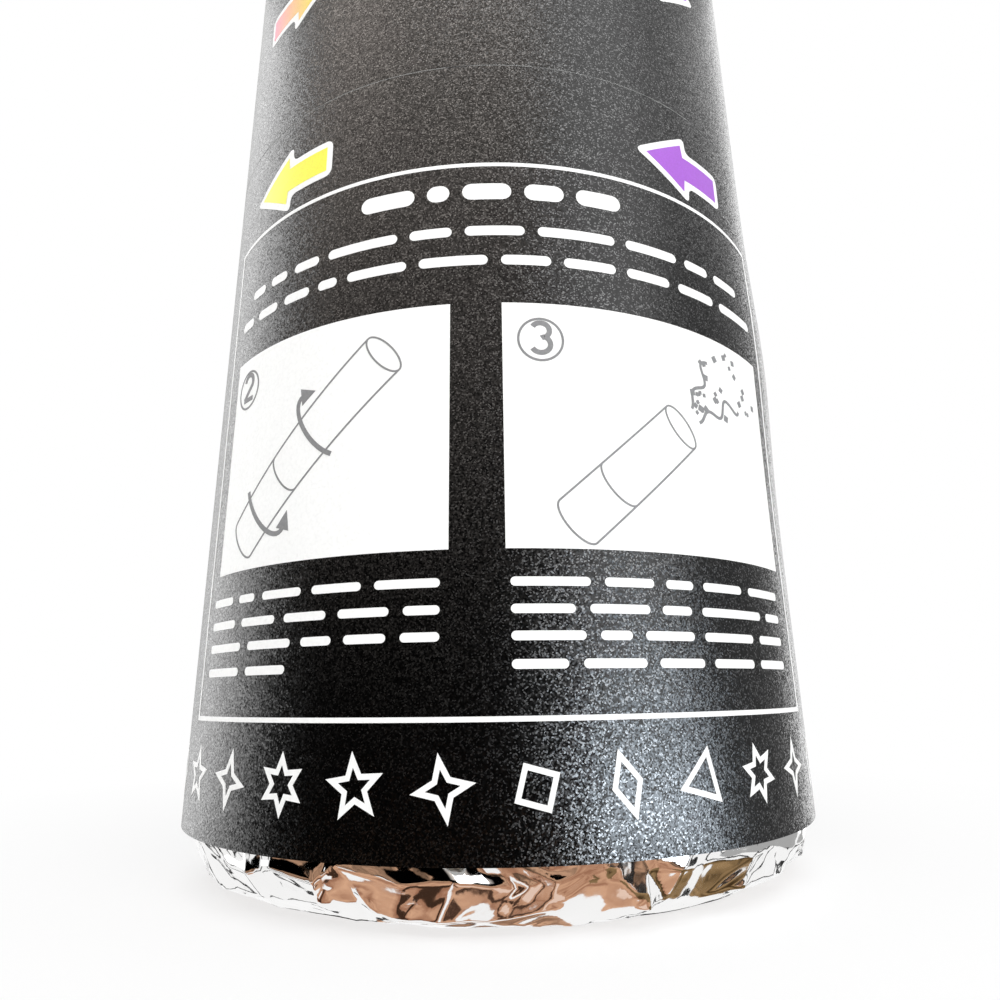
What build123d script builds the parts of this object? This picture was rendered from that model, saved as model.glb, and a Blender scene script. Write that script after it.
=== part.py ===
from build123d import *
import os
from math import hypot, radians, sin, sqrt

# A twist-fired confetti popper: a paperboard tube in two halves that turn on each other.
# The lower half holds a flask of compressed air, and the upper half is the barrel. A quarter
# turn of the barrel lifts a stopper out of the flask's neck, by a pin that runs in two upright
# slots and two helical ones. The air then drives the wad, the confetti and the bung out.
# Millimetres, +Z along the tube, origin in the middle of the base, printed panel facing -Y.

# The whole tube
OVERALL_HEIGHT = 305.0
BODY_RADIUS = 25.0
SEAM_HEIGHT = 57.5
SEAM_GAP = 0.2

# Fits between pieces
BOND_LINE = 0.04
RUNNING_CLEARANCE = 0.06
SLIDE_CLEARANCE = 0.3
SEAT_CLEARANCE = 0.1
END_PLAY = 0.3
CUT_OVERRUN = 1.0

# Paper wraps and paperboard tubes
LABEL_THICKNESS = 0.3
TUBE_WALL = 1.6

# Foil ends: the rounded edge is as high as the foil that shows past the wrap
FOOT_HEIGHT = 3.9
FOIL_THICKNESS = 0.2
FOIL_SKIRT = 10.0
CRUMPLE_DEPTH = 1.0
EDGE_CORNER_SHARE = 0.7
FOLD_HOLE_RADIUS = 11.0

# Facets of the crumpled foil: where each one lies round the edge, how far it faces down and
# how deep it is, as shares of the crumple, swing from facet to facet with uneven beats
FACET_COUNT = 31
FACET_TOOL = 18.0
FACET_WANDER_DEGREES = 4.0
FACET_DIP_DEGREES = 51.0
FACET_DIP_SWING_DEGREES = 16.0
FACET_DEPTH_SHARE = 0.38
FACET_SWING_SHARE = 0.2
WANDER_BEAT = 2.4
DIP_BEAT = 4.1
DEPTH_BEAT = 5.3

# Plugs in both ends of the tube
SPIGOT_LENGTH = 12.0
PLUG_WALL = 2.0

# Coupler that the barrel turns on, and the rings that keep the halves together
COUPLER_WALL = 2.4
COUPLER_STEP = 1.3
RETAINER_LENGTH = 5.0

# Air flask, its cradle and the ring on its shoulder
FLASK_CLEARANCE = 0.5
FLASK_LENGTH = 70.0
FLASK_WALL = 1.0
FLASK_CORNER = 5.0
FLASK_HOLLOW = 3.0
SHOULDER_HEIGHT = 9.0
SHOULDER_RING_WIDTH = 5.2
CRADLE_FLOOR = 3.0
CRADLE_RIM = 6.0
CRADLE_BORE_RADIUS = 7.0
NECK_RADIUS = 8.0
NECK_WALL = 1.1
NECK_LENGTH = 9.0
NECK_BEAD = 1.0
NECK_BEAD_HEIGHT = 2.0

# Valve seat on the neck, and the ferrule that clamps it
GASKET_THICKNESS = 0.8
SEAT_WALL = 1.86
SEAT_FLANGE = 1.5
SEAT_DEPTH = 8.5
SEAT_CHAMFER = 0.6
FERRULE_WALL = 0.6
FERRULE_LIP = 1.6

# Stopper with its seals and cross pin
PLUG_CLEARANCE = 0.25
PLUG_DEPTH = 7.0
PLUG_CHAMFER = 0.8
HEAD_OVERHANG = 1.3
HEAD_HEIGHT = 9.0
HEAD_CHAMFER = 0.8
O_RING_SECTION = 0.7
O_RING_SIDES = 8
O_RING_SHARES = (0.3, 0.7)
PIN_RADIUS = 1.25
PIN_RISE = 6.0
PIN_INSET = 0.4
PIN_CHAMFER = 0.3

# Guide cage round the stopper
HEAD_CLEARANCE = 0.2
CAGE_WALL = 2.5
CAGE_WEB = 1.6
CAGE_TOP_WALL = 2.0
CAGE_LIP = 1.2
CAGE_SNAP = 0.8
COLLAR_WALL = 2.0
SNAP_SLIT = 1.2
SNAP_SLIT_COUNT = 4
GUIDE_CLEARANCE = 0.1

# Breech bulkhead with the cam sleeve
TWIST_DEGREES = 90.0
VALVE_LIFT = 8.0
CAM_CLEARANCE = 0.3
CAM_WALL = 2.5
SLOT_CLEARANCE = 0.2
BREECH_THICKNESS = 3.0
BREECH_SKIRT = 8.0
BREECH_SKIRT_WALL = 1.8
VENT_RADIUS = 2.2
VENT_COUNT = 8
RIB_THICKNESS = 1.2
RIB_DEGREES = (25.0, 65.0, 205.0, 245.0)

# Wad and confetti
WAD_BOARD = 2.0
WAD_RIM = 3.0
WAD_RIM_WIDTH = 2.5
WAD_FELT = 6.0
FELT_CHAMFER = 1.0
CONFETTI_LAYERS = 3
STACK_GAP = 0.4
SLIP_WIDTH_SHARE = 0.88

# Radii from the wraps inwards
label_inner = BODY_RADIUS - LABEL_THICKNESS
foil_outer = label_inner - BOND_LINE
lower_outer = foil_outer - FOIL_THICKNESS - BOND_LINE
lower_inner = lower_outer - TUBE_WALL
upper_outer = label_inner - BOND_LINE
upper_inner = upper_outer - TUBE_WALL
edge_centre = foil_outer - FOOT_HEIGHT
flange_round = FOOT_HEIGHT - CRUMPLE_DEPTH
spigot_outer = lower_inner - BOND_LINE
spigot_inner = spigot_outer - PLUG_WALL
coupler_outer = lower_inner - BOND_LINE
coupler_inner = coupler_outer - COUPLER_WALL
journal_radius = coupler_outer - COUPLER_STEP
flask_radius = coupler_inner - FLASK_CLEARANCE
charge_radius = upper_inner - SLIDE_CLEARANCE

# Radii from the outlet bore outwards
neck_inner = NECK_RADIUS - NECK_WALL
bead_radius = NECK_RADIUS + NECK_BEAD
seat_outer = neck_inner - BOND_LINE
bore_radius = seat_outer - SEAT_WALL
ferrule_inner = bead_radius + BOND_LINE
ferrule_outer = ferrule_inner + FERRULE_WALL
plug_radius = bore_radius - PLUG_CLEARANCE
head_radius = bore_radius + HEAD_OVERHANG
cage_inner = head_radius + HEAD_CLEARANCE
cage_outer = cage_inner + CAGE_WALL
collar_inner = ferrule_outer + BOND_LINE
collar_outer = collar_inner + COLLAR_WALL
cam_inner = cage_outer + CAM_CLEARANCE
cam_outer = cam_inner + CAM_WALL
guide_half_width = PIN_RADIUS + GUIDE_CLEARANCE
slot_half_width = PIN_RADIUS + SLOT_CLEARANCE
breech_outer = upper_inner - BOND_LINE
skirt_inner = breech_outer - BREECH_SKIRT_WALL

# Heights up the tube
handle_top = SEAM_HEIGHT - SEAM_GAP / 2
barrel_bottom = SEAM_HEIGHT + SEAM_GAP / 2
barrel_top = OVERALL_HEIGHT - FOOT_HEIGHT - SEAT_CLEARANCE
spigot_top = FOOT_HEIGHT + SPIGOT_LENGTH
flask_bottom = FOOT_HEIGHT + CRADLE_FLOOR
shoulder_bottom = flask_bottom + FLASK_LENGTH
neck_bottom = shoulder_bottom + SHOULDER_HEIGHT
neck_top = neck_bottom + NECK_LENGTH
bead_bottom = neck_top - NECK_BEAD_HEIGHT
coupler_bottom = spigot_top + BOND_LINE
coupler_top = neck_bottom
retainer_bottom = coupler_top - RETAINER_LENGTH
flange_bottom = neck_top + GASKET_THICKNESS
flange_top = flange_bottom + SEAT_FLANGE
ferrule_top = flange_top + BOND_LINE + FERRULE_WALL
ferrule_bottom = bead_bottom - BOND_LINE - FERRULE_WALL
head_bottom = flange_top + END_PLAY
pin_height = head_bottom + PIN_RISE
cage_seat = ferrule_top + BOND_LINE
web_top = cage_seat + CAGE_WEB
cage_top = pin_height + VALVE_LIFT + guide_half_width + CAGE_TOP_WALL
cam_bottom = web_top + END_PLAY
plate_bottom = cage_top + END_PLAY
plate_top = plate_bottom + BREECH_THICKNESS
wad_bottom = plate_top + END_PLAY
felt_bottom = wad_bottom + WAD_BOARD
felt_top = felt_bottom + WAD_FELT
column_bottom = felt_top + SEAT_CLEARANCE
column_top = OVERALL_HEIGHT - FOOT_HEIGHT - SPIGOT_LENGTH - END_PLAY


def ring(outer, inner, bottom, top):
    """A plain hollow cylinder on the tube's axis, between two heights."""
    return Pos(0, 0, bottom) * extrude(Circle(outer) - Circle(inner), top - bottom)


def disc(radius, bottom, top):
    """A plain round block on the tube's axis, between two heights."""
    return Pos(0, 0, bottom) * extrude(Circle(radius), top - bottom)


def turned(*outline):
    """One turn of a closed half section, drawn in radius and height."""
    return revolve(Plane.XZ * make_face(Curve() + list(outline)), Axis.Z)


def turned_polygon(*points):
    """One turn of a half section that has straight sides only."""
    return turned(Polyline(*points, close=True))


def around(count):
    """Equal turns about the tube's axis."""
    return [Rot(0, 0, 360 * index / count) for index in range(count)]


def flange_edge(gap):
    """The plug flange's broken edge, from its flat face to the tube's rim, moved out by a gap."""
    reach = flange_round + gap
    corner = EDGE_CORNER_SHARE * reach
    return [
        (edge_centre, FOOT_HEIGHT - reach),
        (edge_centre + corner, FOOT_HEIGHT - corner),
        (edge_centre + reach, FOOT_HEIGHT),
    ]


def foil_dish(hole_radius):
    """Foil folded round a plug's flange: a thick dish with a rounded edge, open side up."""
    inside = flange_edge(BOND_LINE)
    fold_top = CRUMPLE_DEPTH - BOND_LINE
    return turned(
        Line((hole_radius, 0), (edge_centre, 0)),
        CenterArc((edge_centre, FOOT_HEIGHT), FOOT_HEIGHT, -90, 90),
        Polyline((foil_outer, FOOT_HEIGHT), *reversed(inside), (hole_radius, fold_top), (hole_radius, 0)),
    )


def crumpled(dish, phase):
    """Flatten the dish's rounded edge into uneven facets, as creased foil lies."""
    for facet in range(FACET_COUNT):
        turn = 360 * facet / FACET_COUNT + FACET_WANDER_DEGREES * sin(WANDER_BEAT * facet + phase)
        dip = FACET_DIP_DEGREES + FACET_DIP_SWING_DEGREES * sin(DIP_BEAT * facet + phase)
        share = FACET_DEPTH_SHARE + FACET_SWING_SHARE * sin(DEPTH_BEAT * facet + phase)
        reach = FOOT_HEIGHT - share * CRUMPLE_DEPTH
        facing = Rot(0, 0, turn) * Pos(edge_centre, 0, FOOT_HEIGHT) * Rot(0, 90 + dip, 0)
        dish -= facing * Pos(0, 0, reach + FACET_TOOL / 2) * Box(FACET_TOOL, FACET_TOOL, FACET_TOOL)
    return dish


def end_plug(spigot_radius):
    """A plug with a flange below the tube's rim and a spigot up its bore."""
    return turned_polygon(
        (0, CRUMPLE_DEPTH), *flange_edge(0), (spigot_radius, FOOT_HEIGHT), (spigot_radius, spigot_top),
        (0, spigot_top),
    )


def at_muzzle(piece):
    """The same piece turned upside down for the muzzle end."""
    return Pos(0, 0, OVERALL_HEIGHT) * mirror(piece, about=Plane.XY)


def flask_form():
    """The flask's outside: a hollowed base, a round corner, a domed shoulder and the neck."""
    foot = flask_radius - FLASK_CORNER
    corner_top = flask_bottom + FLASK_CORNER
    hollow_top = flask_bottom + FLASK_HOLLOW
    dome = (flask_radius - NECK_RADIUS, SHOULDER_HEIGHT)
    return turned(
        Polyline((0, hollow_top), (foot - FLASK_HOLLOW, hollow_top), (foot, flask_bottom)),
        CenterArc((foot, corner_top), FLASK_CORNER, -90, 90),
        Line((flask_radius, corner_top), (flask_radius, shoulder_bottom)),
        EllipticalCenterArc((NECK_RADIUS, shoulder_bottom), *dome, arc_size=90),
        Polyline((NECK_RADIUS, neck_bottom), (NECK_RADIUS, neck_top), (0, neck_top), (0, hollow_top)),
    )


def flask_hollow():
    """The space for the air, a wall's thickness inside the flask and open at the neck."""
    radius = flask_radius - FLASK_WALL
    bottom = flask_bottom + FLASK_HOLLOW + FLASK_WALL
    rise = SHOULDER_HEIGHT - FLASK_WALL
    bend_radius = neck_inner + EDGE_CORNER_SHARE * (radius - neck_inner)
    return turned_polygon(
        (0, bottom), (radius - FLASK_CORNER, bottom), (radius, bottom + FLASK_CORNER),
        (radius, shoulder_bottom), (bend_radius, shoulder_bottom + EDGE_CORNER_SHARE * rise),
        (neck_inner, shoulder_bottom + rise), (neck_inner, neck_top), (0, neck_top),
    )


def guide_slots():
    """Two upright slots, on +X and -X, that let the cross pin rise by the valve's lift."""
    slot = Rot(0, 0, 90) * SlotCenterToCenter(VALVE_LIFT, 2 * guide_half_width)
    middle = Pos(0, 0, pin_height + VALVE_LIFT / 2)
    return middle * extrude(Plane.YZ * slot, cage_outer + CUT_OVERRUN, both=True)


def cam_slots():
    """Two helical slots: turning the sleeve forward by the twist carries the pin up by the lift."""
    middle_radius = (cam_inner + cam_outer) / 2
    degree_rise = VALVE_LIFT / TWIST_DEGREES
    degree_run = hypot(radians(middle_radius), degree_rise)
    end_degrees = slot_half_width / degree_run
    length = (TWIST_DEGREES + 2 * end_degrees) * degree_rise
    path = Helix(360 * degree_rise, length, middle_radius, lefthand=True)
    start = Plane(path @ 0, x_dir=(1, 0, 0), z_dir=path % 0)
    section = Rectangle(CAM_WALL + 2 * CUT_OVERRUN, 2 * slot_half_width)
    slot = sweep(start * section, path=path, is_frenet=True)
    place = Pos(0, 0, pin_height - end_degrees * degree_rise) * Rot(0, 0, end_degrees)
    return [turn * place * slot for turn in around(2)]


def make_base_plug():
    return end_plug(spigot_outer) - disc(spigot_inner, FOOT_HEIGHT, spigot_top)


def make_base_foil():
    skirt = ring(foil_outer, foil_outer - FOIL_THICKNESS, FOOT_HEIGHT, FOOT_HEIGHT + FOIL_SKIRT)
    return crumpled(foil_dish(FOLD_HOLE_RADIUS), 0) + skirt


def make_coupler_sleeve():
    return turned_polygon(
        (coupler_inner, coupler_bottom), (coupler_outer, coupler_bottom), (coupler_outer, handle_top),
        (journal_radius, handle_top), (journal_radius, coupler_top), (coupler_inner, coupler_top),
    )


def make_air_canister():
    bead = ring(bead_radius, neck_inner, bead_bottom, neck_top)
    return flask_form() + bead - flask_hollow()


def make_canister_cradle():
    """A foam cup with a bevel that just clears the flask's round corner."""
    outer = spigot_inner - BOND_LINE
    wall = flask_radius + SEAT_CLEARANCE
    seat = flask_bottom - SEAT_CLEARANCE
    rim_top = flask_bottom + CRADLE_RIM
    bevel = (2 - sqrt(2)) * (FLASK_CORNER + SEAT_CLEARANCE)
    return turned_polygon(
        (CRADLE_BORE_RADIUS, FOOT_HEIGHT), (outer, FOOT_HEIGHT), (outer, rim_top), (wall, rim_top),
        (wall, seat + bevel), (wall - bevel, seat), (CRADLE_BORE_RADIUS, seat),
    )


def shoulder_cone(radius):
    """How high a cone lies that touches the flask's dome halfway up, a seat's clearance above it."""
    reach = (radius - NECK_RADIUS) / (flask_radius - NECK_RADIUS)
    return shoulder_bottom + SHOULDER_HEIGHT * (sqrt(2) - reach) + SEAT_CLEARANCE


def make_shoulder_ring():
    outer = coupler_inner - BOND_LINE
    inner = outer - SHOULDER_RING_WIDTH
    return turned_polygon(
        (inner, shoulder_cone(inner)), (outer, shoulder_cone(outer)),
        (outer, coupler_top), (inner, coupler_top),
    )


def make_retainer_ring():
    outer = upper_inner - SLIDE_CLEARANCE
    return ring(outer, journal_radius + BOND_LINE, retainer_bottom, coupler_top)


def make_stop_ring():
    outer = upper_inner - BOND_LINE
    return ring(outer, journal_radius + RUNNING_CLEARANCE, barrel_bottom, retainer_bottom - END_PLAY)


def make_valve_seat():
    seat_bottom = flange_bottom - SEAT_DEPTH
    return turned_polygon(
        (bore_radius, seat_bottom), (seat_outer, seat_bottom), (seat_outer, flange_bottom),
        (bead_radius, flange_bottom), (bead_radius, flange_top), (bore_radius + SEAT_CHAMFER, flange_top),
        (bore_radius, flange_top - SEAT_CHAMFER),
    )


def make_neck_ferrule():
    lip_radius = bead_radius - FERRULE_LIP
    neck_grip = NECK_RADIUS + BOND_LINE
    return turned_polygon(
        (neck_grip, ferrule_bottom), (ferrule_outer, ferrule_bottom), (ferrule_outer, ferrule_top),
        (lip_radius, ferrule_top), (lip_radius, flange_top + BOND_LINE),
        (ferrule_inner, flange_top + BOND_LINE), (ferrule_inner, bead_bottom - BOND_LINE),
        (neck_grip, bead_bottom - BOND_LINE),
    )


def make_guide_cage():
    lip_inner = ferrule_outer - CAGE_SNAP
    lip_top = ferrule_bottom - BOND_LINE
    lip_bottom = lip_top - CAGE_LIP
    cage = turned_polygon(
        (cage_inner, cage_seat), (collar_inner, cage_seat), (collar_inner, lip_top), (lip_inner, lip_top),
        (lip_inner, lip_bottom), (collar_outer, lip_bottom), (collar_outer, web_top), (cage_outer, web_top),
        (cage_outer, cage_top), (cage_inner, cage_top),
    )
    slit_height = cage_seat - lip_bottom
    slit = Box(2 * collar_outer, SNAP_SLIT, slit_height, align=(Align.MIN, Align.CENTER, Align.MIN))
    for turn in around(SNAP_SLIT_COUNT):
        cage -= turn * Pos(0, 0, lip_bottom) * slit
    return cage - guide_slots()


def make_cam_breech():
    skirt_bottom = plate_bottom - BREECH_SKIRT
    breech = turned_polygon(
        (cam_inner, cam_bottom), (cam_outer, cam_bottom), (cam_outer, plate_bottom),
        (skirt_inner, plate_bottom), (skirt_inner, skirt_bottom), (breech_outer, skirt_bottom),
        (breech_outer, plate_top), (cam_inner, plate_top),
    )
    web_inner = cam_inner + CAM_WALL / 2
    web_length = skirt_inner + BREECH_SKIRT_WALL / 2 - web_inner
    rib = Box(web_length, RIB_THICKNESS, BREECH_SKIRT, align=(Align.MIN, Align.CENTER, Align.MIN))
    for degrees in RIB_DEGREES:
        breech += Rot(0, 0, degrees) * Pos(web_inner, 0, skirt_bottom) * rib
    vent_place = Pos((cam_outer + skirt_inner) / 2, 0, plate_bottom)
    vent = vent_place * extrude(Circle(VENT_RADIUS), BREECH_THICKNESS)
    for turn in around(VENT_COUNT):
        breech -= turn * vent
    for slot in cam_slots():
        breech -= slot
    return breech


def seal_heights():
    return [flange_top - PLUG_DEPTH + share * PLUG_DEPTH for share in O_RING_SHARES]


def seal_radius():
    return bore_radius - RUNNING_CLEARANCE - O_RING_SECTION


def make_valve_stopper():
    plug_bottom = flange_top - PLUG_DEPTH
    head_top = head_bottom + HEAD_HEIGHT
    stopper = turned_polygon(
        (0, plug_bottom), (plug_radius - PLUG_CHAMFER, plug_bottom),
        (plug_radius, plug_bottom + PLUG_CHAMFER), (plug_radius, head_bottom),
        (head_radius, head_bottom), (head_radius, head_top - HEAD_CHAMFER),
        (head_radius - HEAD_CHAMFER, head_top), (0, head_top),
    )
    groove = O_RING_SECTION + BOND_LINE
    for height in seal_heights():
        stopper -= ring(bore_radius, seal_radius() - groove, height - groove, height + groove)
    pin_hole = Pos(0, 0, pin_height) * Rot(0, 90, 0) * Cylinder(PIN_RADIUS + BOND_LINE, 2 * cage_outer)
    return stopper - pin_hole


def make_stopper_o_rings():
    section = Pos(seal_radius(), 0) * RegularPolygon(O_RING_SECTION, O_RING_SIDES)
    return Compound([Pos(0, 0, height) * revolve(Plane.XZ * section, Axis.Z) for height in seal_heights()])


def make_cross_pin():
    length = 2 * (cam_outer - PIN_INSET)
    pin = Pos(0, 0, pin_height) * Rot(0, 90, 0) * Cylinder(PIN_RADIUS, length)
    return chamfer(pin.edges().filter_by(GeomType.CIRCLE), PIN_CHAMFER)


def make_wad_disc():
    rim_inner = charge_radius - WAD_RIM_WIDTH
    rim = ring(charge_radius, rim_inner, felt_bottom, felt_bottom + WAD_RIM)
    return disc(charge_radius, wad_bottom, felt_bottom) + rim


def make_wad_felt():
    radius = charge_radius - WAD_RIM_WIDTH - SEAT_CLEARANCE
    pad = disc(radius, felt_bottom, felt_top)
    return chamfer(pad.edges().group_by(Axis.Z)[-1], FELT_CHAMFER)


def confetti_stacks(colour):
    """One colour's stacks of slips, one in each layer, a quarter turn further round each time."""
    width = SLIP_WIDTH_SHARE * charge_radius
    side_reach = sqrt(charge_radius**2 - width**2)
    end_reach = sqrt(charge_radius**2 - width**2 / 4)
    slip = width - STACK_GAP
    thick = Pos(width / 2, 0) * Rectangle(slip, 2 * side_reach - STACK_GAP)
    thin = Pos(0, (side_reach + end_reach) / 2) * Rectangle(slip, end_reach - side_reach - STACK_GAP)
    layer_height = (column_top - column_bottom) / CONFETTI_LAYERS
    stacks = []
    for layer in range(CONFETTI_LAYERS):
        place = colour + layer
        face = thin if place % 2 else thick
        half_turn = Rot(0, 0, 180 * (place // 2))
        lift = Pos(0, 0, column_bottom + layer * layer_height)
        stacks.append(lift * half_turn * extrude(face, layer_height - STACK_GAP))
    return Compound(stacks)


nodes = {
    "lower_tube": ring(lower_outer, lower_inner, FOOT_HEIGHT, handle_top),
    "lower_label": ring(BODY_RADIUS, label_inner, FOOT_HEIGHT, handle_top),
    "base_plug": make_base_plug(),
    "base_foil": make_base_foil(),
    "coupler_sleeve": make_coupler_sleeve(),
    "retainer_ring": make_retainer_ring(),
    "air_canister": make_air_canister(),
    "canister_cradle": make_canister_cradle(),
    "shoulder_ring": make_shoulder_ring(),
    "seat_gasket": ring(bead_radius, seat_outer + BOND_LINE, neck_top, flange_bottom),
    "valve_seat": make_valve_seat(),
    "neck_ferrule": make_neck_ferrule(),
    "guide_cage": make_guide_cage(),
    "upper_tube": ring(upper_outer, upper_inner, barrel_bottom, barrel_top),
    "upper_label": ring(BODY_RADIUS, label_inner, barrel_bottom, barrel_top),
    "stop_ring": make_stop_ring(),
    "cam_breech": make_cam_breech(),
    "valve_stopper": make_valve_stopper(),
    "stopper_o_rings": make_stopper_o_rings(),
    "cross_pin": make_cross_pin(),
    "wad_disc": make_wad_disc(),
    "wad_felt": make_wad_felt(),
    "confetti_yellow": confetti_stacks(0),
    "confetti_orange": confetti_stacks(1),
    "confetti_pink": confetti_stacks(2),
    "confetti_purple": confetti_stacks(3),
    "muzzle_plug": at_muzzle(end_plug(charge_radius)),
    "muzzle_foil": at_muzzle(crumpled(foil_dish(0), DIP_BEAT)),
}

os.makedirs("parts", exist_ok=True)
for name, solid in nodes.items():
    export_step(solid, f"parts/{name}.step")
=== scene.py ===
import math
import bmesh
import bpy
import numpy as np
from mathutils import Matrix, Vector


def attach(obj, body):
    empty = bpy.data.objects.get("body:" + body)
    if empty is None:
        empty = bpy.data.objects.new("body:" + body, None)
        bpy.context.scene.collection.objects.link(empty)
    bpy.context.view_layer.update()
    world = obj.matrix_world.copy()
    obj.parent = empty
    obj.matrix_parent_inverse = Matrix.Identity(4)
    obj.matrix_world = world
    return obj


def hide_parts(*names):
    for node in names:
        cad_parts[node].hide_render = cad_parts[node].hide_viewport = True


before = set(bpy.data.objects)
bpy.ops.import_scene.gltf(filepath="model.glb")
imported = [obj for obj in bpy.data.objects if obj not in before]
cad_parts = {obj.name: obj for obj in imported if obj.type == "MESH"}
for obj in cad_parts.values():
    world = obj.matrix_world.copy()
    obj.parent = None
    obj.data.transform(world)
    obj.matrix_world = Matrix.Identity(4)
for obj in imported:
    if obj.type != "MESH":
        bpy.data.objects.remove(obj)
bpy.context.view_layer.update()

# Base plug: a white polystyrene moulding, glued into the bottom of the handle's tube.
# Only its middle shows, from below, where the foil folded under the base leaves it bare.


class Finish:
    """A socket in a node tree. Sums, products and powers of sockets add Math nodes to the tree."""

    def __init__(self, tree, socket=None):
        self.tree = tree
        self.socket = socket

    def node(self, kind, sockets=None, output=0, **settings):
        """Any node: its type, its sockets' values or links, and its settings. Gives one output."""
        made = self.tree.nodes.new(kind)
        for name, value in settings.items():
            setattr(made, name, value)
        for name, value in (sockets or {}).items():
            if isinstance(value, Finish):
                self.tree.links.new(value.socket, made.inputs[name])
            else:
                made.inputs[name].default_value = value
        return Finish(self.tree, made.outputs[output] if made.outputs else None)

    def math(self, operation, first, second):
        """A Math node on two values or sockets."""
        return self.node("ShaderNodeMath", {0: first, 1: second}, operation=operation)

    def __add__(self, other):
        return self.math("ADD", self, other)

    __radd__ = __add__

    def __sub__(self, other):
        return self.math("SUBTRACT", self, other)

    def __rsub__(self, other):
        return self.math("SUBTRACT", other, self)

    def __mul__(self, other):
        return self.math("MULTIPLY", self, other)

    __rmul__ = __mul__

    def __pow__(self, other):
        return self.math("POWER", self, other)


def place_on(start, stretch=(1, 1, 1)):
    """The piece's own coordinates in metres, stretched along its axes."""
    place = start.node("ShaderNodeTexCoord", output="Object")
    return start.node("ShaderNodeMapping", {"Vector": place, "Scale": stretch})


def blank(name):
    """A new material, a start for its nodes, and the coordinates of the piece that it goes on."""
    material = bpy.data.materials.new(name)
    material.use_nodes = True
    material.node_tree.nodes.clear()
    start = Finish(material.node_tree)
    return material, start, place_on(start)


def varnish(start, sockets):
    """Close a material with one Principled shader, given its sockets."""
    shader = start.node("ShaderNodeBsdfPrincipled", sockets)
    start.node("ShaderNodeOutputMaterial", {"Surface": shader})


def mottle(place, grains_per_metre, detail=2.0):
    """Cloudy noise from 0 to 1 with so many grains to the metre."""
    sockets = {"Vector": place, "Scale": grains_per_metre, "Detail": detail}
    return place.node("ShaderNodeTexNoise", sockets)


def mixed(share, colour, other):
    """One colour shading into another by a share from 0 to 1."""
    ends = {0: share, 6: (*colour, 1), 7: (*other, 1)}
    return share.node("ShaderNodeMix", ends, 2, data_type="RGBA")


def relief(height, depth):
    """Bump from a height of 0 to 1 that stands for so many metres."""
    return height.node("ShaderNodeBump", {"Height": height, "Distance": depth})


def moulded(name, colour, shaded):
    """Moulded plastic: slow flow marks in the colour, and a fine spark-eroded grain in the gloss."""
    material, start, place = blank(name)
    grain = mottle(place, 2600)
    varnish(start, {
        "Base Color": mixed(mottle(place, 120, 4), colour, shaded),
        "Roughness": 0.34 + 0.16 * grain,
        "Normal": relief(grain, 1.2e-5),
    })
    return material


def dress(material, *names):
    """Give CAD nodes their finish."""
    for name in names:
        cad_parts[name].material_slots[0].material = material


white_moulding = moulded("white_moulding", (0.86, 0.86, 0.84), (0.77, 0.77, 0.74))
dress(white_moulding, "base_plug")

# Foil foot: bright silver foil drawn over the plug, creased round the edge and folded under it.
# Its skirt runs up between the tube and the printed wrap, so only the bottom four millimetres show.
MM = 0.001
FOOT_RADIUS = 24.66
FOOT_HEIGHT = 3.9
FOOT_FLAT = FOOT_RADIUS - FOOT_HEIGHT
FOLD_RADIUS = 11.0
FOIL_GAUGE = 0.06
FOIL_SHARP = 75
CORNER_SWING = 0.36
FOIL_CUTS = 3
DENT_CUTS = 4
MERGE_GAP = 2e-7


def grid_faces(rows, columns, round_rows, round_columns):
    """Four-sided faces between the neighbours of a grid, and across its ends where it runs round."""
    row = np.arange(rows if round_rows else rows - 1)[:, None]
    column = np.arange(columns if round_columns else columns - 1)
    row, column = np.broadcast_arrays(row, column)
    next_row, next_column = (row + 1) % rows, (column + 1) % columns
    corners = [(row, column), (row, next_column), (next_row, next_column), (next_row, column)]
    return np.stack([i * columns + j for i, j in corners], -1).reshape(-1, 4)


def shell(top, under, wraps=True, pole=False):
    """A closed sheet: a grid of points, the same grid on its underside, and the rims that join them.
    The grid's columns may wrap round, and its first row may be one point, a pole."""
    loop = np.concatenate([top, under[::-1]])
    rows, columns = loop.shape[:2]
    faces = [grid_faces(rows, columns, not pole, wraps)]
    if not wraps:
        step = np.arange(rows // 2 - 1)
        cap = np.stack([step, step + 1, rows - 2 - step, rows - 1 - step], -1) * columns
        faces += [cap[:, ::-1], cap + columns - 1]
    return loop.reshape(-1, 3), np.concatenate(faces)


def outward(points, faces):
    """Turn a closed surface's faces round if the volume that they enclose comes out negative."""
    a, b, c, d = (points[faces[:, k]] for k in range(4))
    six_volumes = np.sum(a * (np.cross(b, c) + np.cross(c, d)))
    return faces if six_volumes > 0 else faces[:, ::-1]


def placed(name, data):
    """A new object in the scene, at the origin."""
    made = bpy.data.objects.new(name, data)
    bpy.context.scene.collection.objects.link(made)
    return made


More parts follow.
